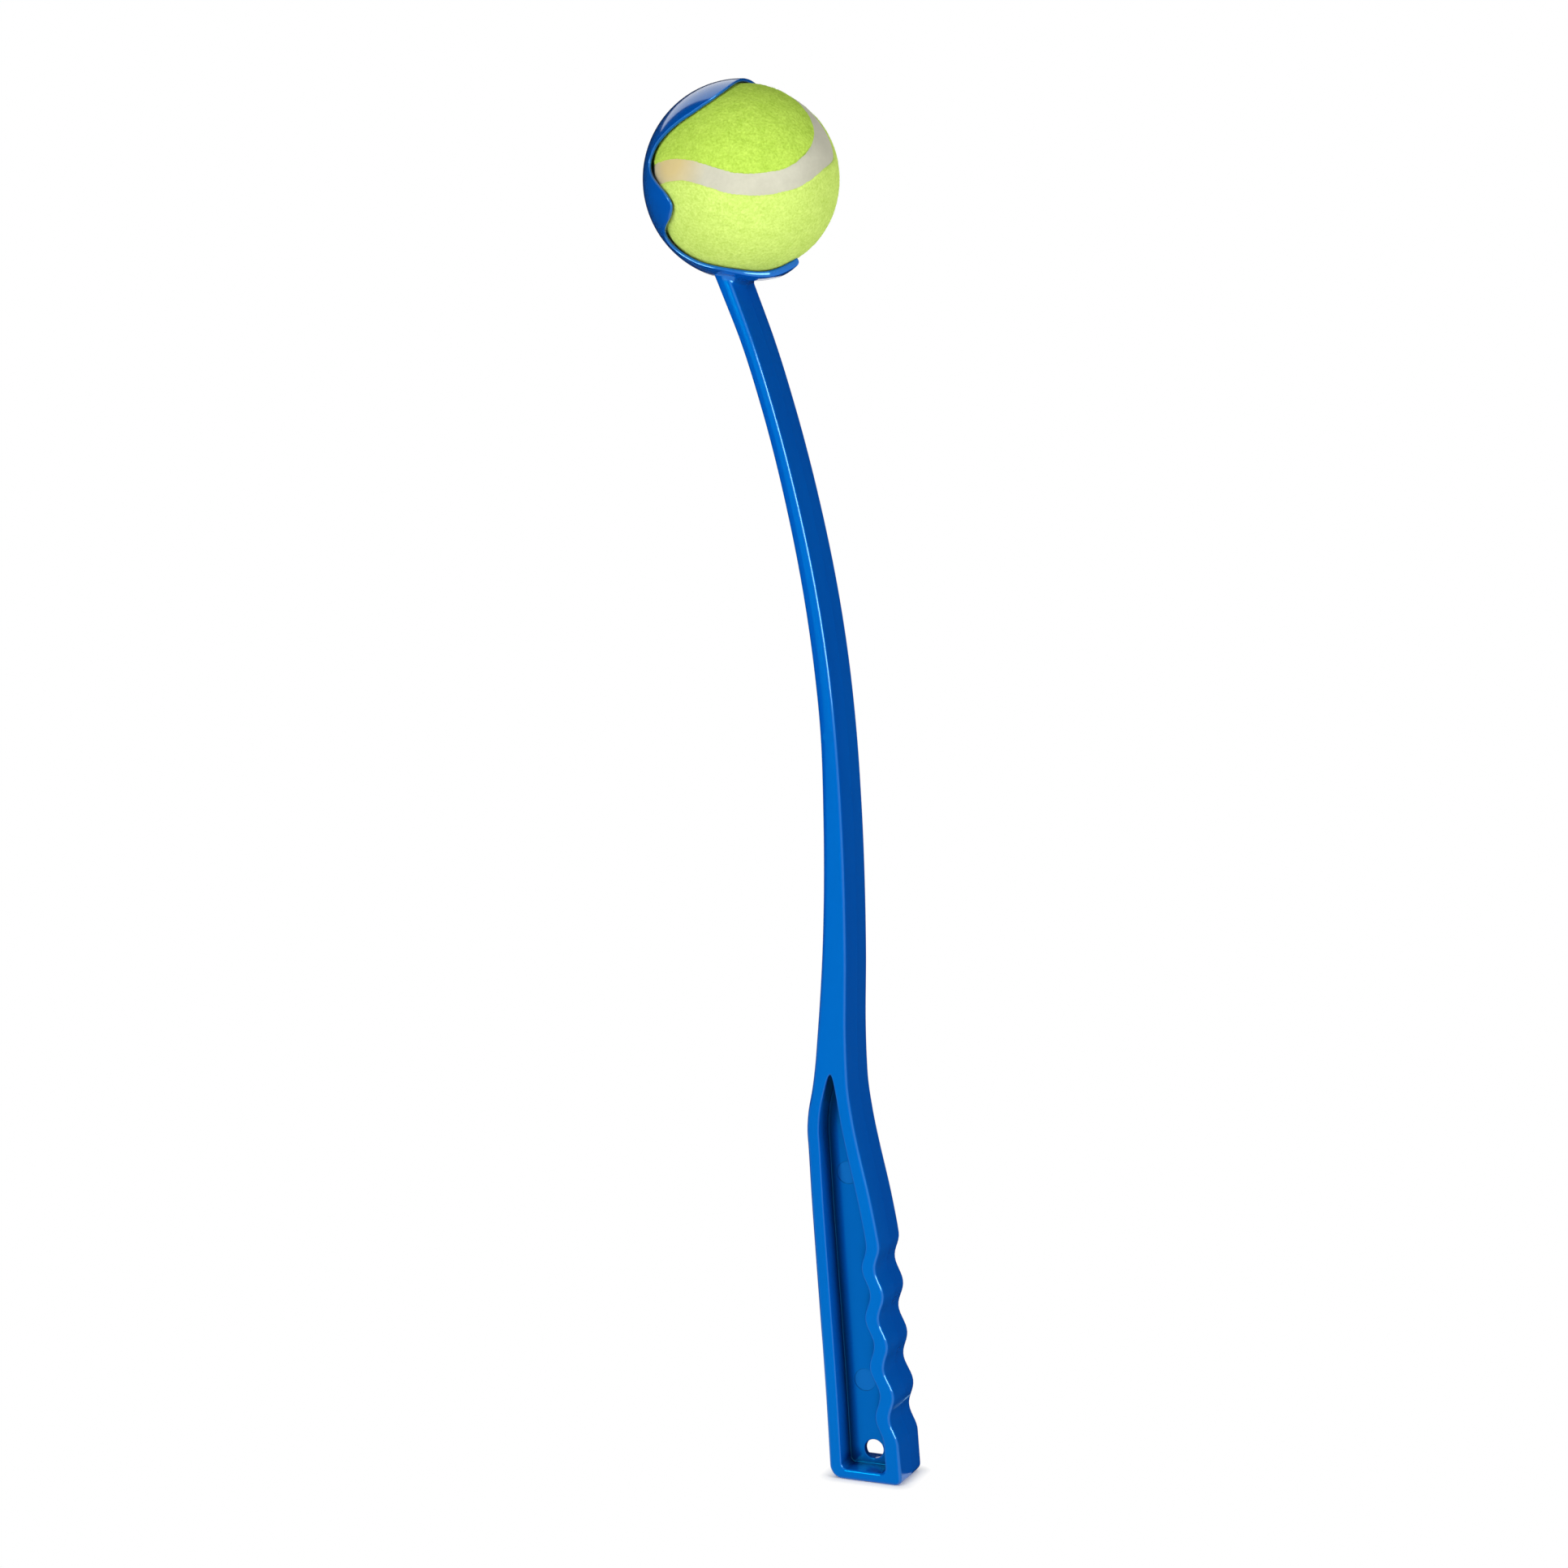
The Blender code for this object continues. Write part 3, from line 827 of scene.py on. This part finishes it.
def newMaterial(name, base, roughness, specular):
    material = bpy.data.materials.new(name)
    material.use_nodes = True
    tree = material.node_tree
    shader = tree.nodes["Principled BSDF"]
    shader.inputs["Base Color"].default_value = (*base, 1)
    shader.inputs["Roughness"].default_value = roughness
    shader.inputs["Specular IOR Level"].default_value = specular
    return material, tree, shader


def bump(tree, shader, height):
    normal = addNode(tree, "Bump", {"Height": height, "Strength": 1.0, "Distance": 1.0}).outputs["Normal"]
    tree.links.new(normal, shader.inputs["Normal"])


# Grain, which felt and rubber share

def newGroup(name, inputs, outputs):
    group = bpy.data.node_groups.new(name, "ShaderNodeTree")
    for socket, value in inputs.items():
        made = group.interface.new_socket(socket, in_out="INPUT", socket_type="NodeSocketFloat")
        made.default_value = value
    for socket in outputs:
        group.interface.new_socket(socket, in_out="OUTPUT", socket_type="NodeSocketFloat")
    return group, group.nodes.new("NodeGroupInput"), group.nodes.new("NodeGroupOutput")


grainInputs = {
    "Fine Scale": 1500.0,
    "Coarse Scale": 300.0,
    "Coarse Share": 0.4,
    "Contrast": 1.0,
    "Depth": 0.0001,
}


def makeGrainGroup():
    # Mottling at two sizes: a shade for the colour and a height for the bump
    group, given, out = newGroup("grain", grainInputs, ["Shade", "Height"])
    place = textureCoordinates(group)
    fine = noiseNode(group, place, given.outputs["Fine Scale"], detail=3.0, roughness=0.65)
    coarse = noiseNode(group, place, given.outputs["Coarse Scale"])
    coarseShare = given.outputs["Coarse Share"]
    fineShare = mathNode(group, "SUBTRACT", 1.0, coarseShare)
    mixed = mathNode(group, "ADD", times(group, coarse, coarseShare), times(group, fine, fineShare))
    centred = times(group, mathNode(group, "SUBTRACT", mixed, 0.5), given.outputs["Contrast"])
    shade = addNode(group, "Clamp", {"Value": mathNode(group, "ADD", centred, 0.5)}).outputs[0]
    group.links.new(shade, out.inputs["Shade"])
    group.links.new(times(group, mixed, given.outputs["Depth"]), out.inputs["Height"])
    return group


def addGrain(tree, shader, grain, values, dark, light):
    # Roughens a surface, and gives back its colour, mottled between two
    node = tree.nodes.new("ShaderNodeGroup")
    node.node_tree = grain
    for socket, value in values.items():
        node.inputs[socket].default_value = value
    bump(tree, shader, node.outputs["Height"])
    return mixColors(tree, node.outputs["Shade"], dark, light)


# Blue plastic

plasticFinish = {
    "deep": (0.0, 0.074, 0.390),
    "bright": (0.0, 0.094, 0.435),
    "roughness": 0.14,
    "specular": 1.0,
    "glossTint": (0.0, 0.60, 1.0, 1),
    "flowScale": 22.0,          # streaks left by the plastic as it flowed, long in Z
    "flowStretch": 0.12,
    "flowColorRange": (0.35, 0.65),
    "flowRoughRange": (0.30, 0.70),
    "flowRoughShares": (0.80, 1.25),
    "peelScale": 420.0,
    "peelDepth": 0.000002,
    "waveScale": 55.0,
    "waveDepth": 0.00001,
    # clear gloss on rounded front edges and on the cup
    "edgeShine": 0.7,
    "edgeSharpness": 3.0,
    "edgeFrontRange": (0.2, 0.5),
    "cupShine": 0.7,
    "cupReachShares": (1.055, 1.045),
    "shineRoughness": 0.08,
    # painted shade: the colour turns dark blue in inner corners, where ambient occlusion is low, only up to
    # the height of the pocket
    "cornerShadeBlue": (0.0, 0.016, 0.130),
    "cornerReach": 0.0060,
    "cornerSamples": 8,
    "cornerRange": (0.56, 0.90),
    "cornerTop": (0.100, 0.085),
    # paler where the ejector pins pressed on the web
    "pinBlue": (0.010, 0.125, 0.470),
    "pinShare": 0.5,
    "pinEdgeShares": (1.04, 0.98),
    # a rubbed place on the front of the lowest groove, and not in the pocket behind it
    "scuffColor": (0.16, 0.42, 0.78),
    "scuffPlace": (0.0150, 0.0020, -0.0280),
    "scuffReach": 0.0125,
    "scuffCoreShare": 0.35,
    "scuffBand": (0.0010, 0.0002),
    "scuffDepth": (-0.0045, -0.0035),
    "scuffStretch": 14.0,
    "scuffScale": 1500.0,
    "scuffLineRange": (0.40, 0.60),
    "scuffRoughness": 0.25,
}


def scuffMask(tree, place):
    # Fine level lines that fade out round the middle of the rubbed place
    f = plasticFinish
    values = {"Vector": place, "Location": f["scuffPlace"], "Scale": (1, f["scuffStretch"], 1)}
    rubbed = addNode(tree, "Mapping", values, vector_type="TEXTURE").outputs[0]
    beside = separate(tree, rubbed)
    lines = spread(tree, noiseNode(tree, rubbed, f["scuffScale"]), *f["scuffLineRange"])
    lines = times(tree, lines, spread(tree, mathNode(tree, "ABSOLUTE", beside["Z"]), *f["scuffBand"]))
    lines = times(tree, lines, spread(tree, beside["X"], *f["scuffDepth"]))
    reach = f["scuffReach"]
    near = spread(tree, distanceTo(tree, place, f["scuffPlace"]), reach, reach * f["scuffCoreShare"])
    return times(tree, lines, near)


def paintedShadeMask(tree, place):
    # Painted shade: 1 in inner corners, where ambient occlusion finds them closed in, and 0 above the pocket
    f = plasticFinish
    corner = addNode(tree, "AmbientOcclusion", {"Distance": f["cornerReach"]},
                     samples=f["cornerSamples"], only_local=True)
    paintedShade = spread(tree, corner.outputs["AO"], *f["cornerRange"], 1.0, 0.0)
    return times(tree, paintedShade, spread(tree, separate(tree, place)["Z"], *f["cornerTop"]))


def shineMask(tree, place):
    # Y squared times what it leaves of 1 is greatest where a rounded edge has turned half way
    f = plasticFinish
    normal = separate(tree, textureCoordinates(tree, "Normal"))
    sideways = times(tree, normal["Y"], normal["Y"])
    turned = times(tree, sideways, mathNode(tree, "SUBTRACT", 1.0, sideways))
    edge = mathNode(tree, "POWER", times(tree, turned, 4.0), f["edgeSharpness"])
    edge = times(tree, edge, spread(tree, normal["X"], *f["edgeFrontRange"], 0.0, f["edgeShine"]))
    far, near = (cupOuter * share for share in f["cupReachShares"])
    onCup = spread(tree, distanceTo(tree, place, cupCentre), far, near, 0.0, f["cupShine"])
    return mathNode(tree, "MAXIMUM", edge, onCup)


def makePlastic():
    f = plasticFinish
    material, tree, shader = newMaterial("blue_plastic", f["bright"], f["roughness"], f["specular"])
    shader.inputs["Specular Tint"].default_value = f["glossTint"]
    place = textureCoordinates(tree)
    long = addNode(tree, "Mapping", {"Vector": place, "Scale": (1, 1, f["flowStretch"])}).outputs[0]
    flow = noiseNode(tree, long, f["flowScale"], detail=3.0)
    blue = mixColors(tree, spread(tree, flow, *f["flowColorRange"]), f["deep"], f["bright"])
    flat = addNode(tree, "Mapping", {"Vector": place, "Scale": (1, 0, 1)}).outputs[0]
    for x, z, radius, _ in roundCuts["webMarks"]:
        outer, inner = (radius * share for share in f["pinEdgeShares"])
        pressed = spread(tree, distanceTo(tree, flat, (x, 0, z)), outer, inner, 0.0, f["pinShare"])
        blue = mixColors(tree, pressed, blue, f["pinBlue"])
    # Painted shade: inner corners of the pocket darkened in the colour
    blue = mixColors(tree, paintedShadeMask(tree, place), blue, f["cornerShadeBlue"])
    scuff = scuffMask(tree, place)
    tree.links.new(mixColors(tree, scuff, blue, f["scuffColor"]), shader.inputs["Base Color"])
    smoothest, roughest = (f["roughness"] * share for share in f["flowRoughShares"])
    rough = spread(tree, flow, *f["flowRoughRange"], smoothest, roughest)
    rough = mathNode(tree, "ADD", rough, times(tree, scuff, f["scuffRoughness"]))
    tree.links.new(rough, shader.inputs["Roughness"])
    peel = times(tree, noiseNode(tree, place, f["peelScale"], detail=1.0), f["peelDepth"])
    wave = times(tree, noiseNode(tree, long, f["waveScale"], detail=1.0), f["waveDepth"])
    bump(tree, shader, mathNode(tree, "ADD", peel, wave))
    tree.links.new(shineMask(tree, place), shader.inputs["Coat Weight"])
    shader.inputs["Coat Roughness"].default_value = f["shineRoughness"]
    return material


# Felt, seam and core

feltFinish = {
    "grain": {"Fine Scale": 1250.0, "Coarse Scale": 260.0, "Coarse Share": 0.25, "Contrast": 2.5,
              "Depth": 0.00022},
    "roughness": 0.95,
    "specular": 0.0,
    "sheen": 0.04,
    "sheenTint": (0.75, 1.0, 0.25, 1),
    "sheenRoughness": 0.4,
    # the dark and the light green of each panel
    "greens": {
        "felt_one": ((0.42, 0.59, 0.09), (0.64, 0.81, 0.205)),
        "felt_two": ((0.31, 0.49, 0.045), (0.54, 0.75, 0.115)),
    },
}


def makeFeltMaterial(name, grain):
    f = feltFinish
    dark, light = f["greens"][name]
    material, tree, shader = newMaterial(name, light, f["roughness"], f["specular"])
    green = addGrain(tree, shader, grain, f["grain"], dark, light)
    tree.links.new(green, shader.inputs["Base Color"])
    shader.inputs["Sheen Weight"].default_value = f["sheen"]
    shader.inputs["Sheen Roughness"].default_value = f["sheenRoughness"]
    shader.inputs["Sheen Tint"].default_value = f["sheenTint"]
    return material


seamFinish = {
    "grain": {"Fine Scale": 900.0, "Coarse Scale": 160.0, "Coarse Share": 0.6, "Contrast": 1.6,
              "Depth": 0.00008},
    "dark": (0.43, 0.42, 0.33),
    "light": (0.55, 0.54, 0.43),
    "roughness": 0.62,
    "specular": 0.35,
    "stain": (0.64, 0.50, 0.20),
    "stainWay": (-0.481, -0.858, 0.193),    # from the ball's centre
    "stainReach": 0.0160,
    "stainCoreShare": 0.3,
    "stainShare": 0.85,
}


def makeSeamMaterial(grain):
    f = seamFinish
    material, tree, shader = newMaterial("seam_rubber", f["light"], f["roughness"], f["specular"])
    plain = addGrain(tree, shader, grain, f["grain"], f["dark"], f["light"])
    gap = distanceTo(tree, textureCoordinates(tree), ballCentre + Vector(f["stainWay"]) * ballShape["radius"])
    reach = f["stainReach"]
    stain = spread(tree, gap, reach, reach * f["stainCoreShare"], 0.0, f["stainShare"])
    tree.links.new(mixColors(tree, stain, plain, f["stain"]), shader.inputs["Base Color"])
    return material


coreFinish = {
    "grain": {"Fine Scale": 1200.0, "Coarse Scale": 200.0, "Depth": 0.00005},
    "base": (0.05, 0.05, 0.05),
    "dark": (0.035, 0.035, 0.035),
    "light": (0.065, 0.065, 0.065),
    "roughness": 0.7,
    "specular": 0.4,
}


def makeCoreMaterial(grain):
    f = coreFinish
    material, tree, shader = newMaterial("core_rubber", f["base"], f["roughness"], f["specular"])
    grey = addGrain(tree, shader, grain, f["grain"], f["dark"], f["light"])
    tree.links.new(grey, shader.inputs["Base Color"])
    return material


# Stage: floor, world, cards, lamps and camera

stageShape = {
    "cameraFromCup": (0.4738, -1.1354, -0.0287),
    "azimuthDeg": 22.0,
    "downDeg": 8.15,
    "lens": 83.03,
    "sensor": 36.0,
    "floorRadius": 3.0,
    "floorSegments": 96,
    "floorWhite": (0.93, 0.93, 0.93),
    "floorRoughness": 0.85,
    "floorSpecular": 0.2,
    "floorMiddle": (0.0046, 0.0, 0.0),
    "floorHalf": (0.0112, 0.0080, 0.0),     # of what stands on it, where the floor starts to fade to white
    "floorFade": (0.0004, 0.0062),
    "worldLight": 0.08,
    "lampTarget": (0, 0, 0.17),
    # name, azimuth from the near side towards the front, height angle, distance, size, brightness
    # (the brightness is the same for a small and a large lamp)
    "lamps": [
        ("left_box", -18, 23, 1.5, (0.36, 0.50), 18.0),
        ("top_box", -22, 44, 1.5, (0.60, 0.40), 3.5),
        ("front_box", 72, 17, 1.5, (0.70, 0.70), 10.3),
        ("low_box", -10, -3, 1.5, (0.60, 0.14), 22.0),
        ("rear_box", 192, 22, 1.5, (1.00, 0.80), 5.0),
    ],
    "softOnly": ("low_box", "rear_box"),    # not seen in gloss
    "cardBlack": (0.01, 0.01, 0.01),
    "cardRoughness": 0.9,
    "cardColumns": 60,
    # black cards that only gloss meets: from and to azimuth, then (distance, height) of their edges
    "cards": [
        (-165, -150, (1.0, 0.22), (1.0, 0.75)),
        (-150, -118, (1.0, -0.05), (1.0, 0.75)),
        (-118, -25, (1.0, -0.05), (1.0, 2.30)),
        (-165, -85, (0.15, -0.0545), (1.0, -0.0545)),
        (100, 200, (0.0, -0.0547), (0.6, -0.0547), (0.6, 0.80)),
    ],
}


def wayTo(azimuthDeg, upDeg):
    # Azimuth 0 is the near side (-Y) and 90 the front (+X)
    azimuth = math.radians(azimuthDeg)
    up = math.radians(upDeg)
    return Vector((math.sin(azimuth) * math.cos(up), -math.cos(azimuth) * math.cos(up), math.sin(up)))


def seenPlainly(tree):
    # 1 for what the camera, gloss and clear things see, and 0 for soft light
    path = addNode(tree, "LightPath").outputs
    seen = mathNode(tree, "MAXIMUM", path["Is Camera Ray"], path["Is Glossy Ray"])
    return mathNode(tree, "MAXIMUM", seen, path["Is Transmission Ray"])


def makeFloor():
    # Keeps the shadow close to the butt, and fades to white round it
    s = stageShape
    shape = bmesh.new()
    bmesh.ops.create_circle(shape, cap_ends=True, segments=s["floorSegments"], radius=s["floorRadius"])
    floor = objectFrom("floor", shape)
    floor.location.z = buttHeight
    material, tree, shader = newMaterial("floor_white", s["floorWhite"], s["floorRoughness"],
                                         s["floorSpecular"])
    out = vectorMath(tree, "SUBTRACT", textureCoordinates(tree), s["floorMiddle"])[0]
    out = vectorMath(tree, "ABSOLUTE", out)[0]
    out = vectorMath(tree, "SUBTRACT", out, s["floorHalf"])[0]
    out = vectorMath(tree, "MAXIMUM", out)[0]
    fade = spread(tree, vectorMath(tree, "LENGTH", out)["Value"], *s["floorFade"])
    white = addNode(tree, "Emission").outputs[0]
    amount = times(tree, fade, seenPlainly(tree))
    mix = addNode(tree, "MixShader", {0: amount, 1: shader.outputs[0], 2: white})
    tree.links.new(mix.outputs[0], tree.nodes["Material Output"].inputs["Surface"])
    floor.data.materials.append(material)


def makeCards():
    s = stageShape
    material = newMaterial("card_black", s["cardBlack"], s["cardRoughness"], 0.0)[0]
    for number, (first, last, *edges) in enumerate(s["cards"]):
        ways = [wayTo(azimuth, 0) for azimuth in np.linspace(first, last, s["cardColumns"])]
        shape = bmesh.new()
        addPatch(shape, [[way * away + Vector((0, 0, height)) for way in ways] for away, height in edges])
        card = objectFrom("card_" + str(number), shape)
        card.visible_camera = False
        card.visible_diffuse = False
        card.visible_shadow = False
        card.data.materials.append(material)


def makeWorld():
    world = bpy.data.worlds.new("studio")
    scene.world = world
    world.use_nodes = True
    tree = world.node_tree
    tree.nodes.clear()
    white = (1, 1, 1, 1)
    soft = addNode(tree, "Background", {"Color": white, "Strength": stageShape["worldLight"]}).outputs[0]
    plain = addNode(tree, "Background", {"Color": white}).outputs[0]
    mix = addNode(tree, "MixShader", {0: seenPlainly(tree), 1: soft, 2: plain}).outputs[0]
    addNode(tree, "OutputWorld", {"Surface": mix})


def makeCamera():
    s = stageShape
    data = bpy.data.cameras.new("camera")
    data.sensor_width = s["sensor"]
    data.lens = s["lens"]
    camera = bpy.data.objects.new("camera", data)
    scene.collection.objects.link(camera)
    camera.location = cupCentre + Vector(s["cameraFromCup"])
    camera.rotation_euler = (math.radians(90 - s["downDeg"]), 0, math.radians(s["azimuthDeg"]))
    scene.camera = camera


def makeLamps():
    s = stageShape
    for name, azimuthDeg, upDeg, away, size, brightness in s["lamps"]:
        data = bpy.data.lights.new(name, "AREA")
        data.shape = "RECTANGLE"
        data.size, data.size_y = size
        data.energy = brightness * math.pi * size[0] * size[1]
        lamp = bpy.data.objects.new(name, data)
        scene.collection.objects.link(lamp)
        way = wayTo(azimuthDeg, upDeg)
        lamp.location = Vector(s["lampTarget"]) + way * away
        lamp.rotation_euler = way.to_track_quat("Z", "Y").to_euler()
        lamp.visible_glossy = name not in s["softOnly"]


scene.view_settings.view_transform = "Standard"
grain = makeGrainGroup()
makeMoulding(makePlastic())
feltFront = makeFelt("felt_front", makeFeltMaterial("felt_one", grain))
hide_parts("felt_panel_front")
feltRear = makeFelt("felt_rear", makeFeltMaterial("felt_two", grain))
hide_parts("felt_panel_rear")
makeSeam(makeSeamMaterial(grain))
coreRubber = makeCoreMaterial(grain)
for name in ("core_half_upper", "core_half_lower"):
    core = frame["nodes"][name]
    core.data.materials.clear()
    core.data.materials.append(coreRubber)
print("core rubber")
makeFloor()
makeCards()
makeWorld()
print("floor, cards and world")
makeCamera()
makeLamps()
print("lights and camera")
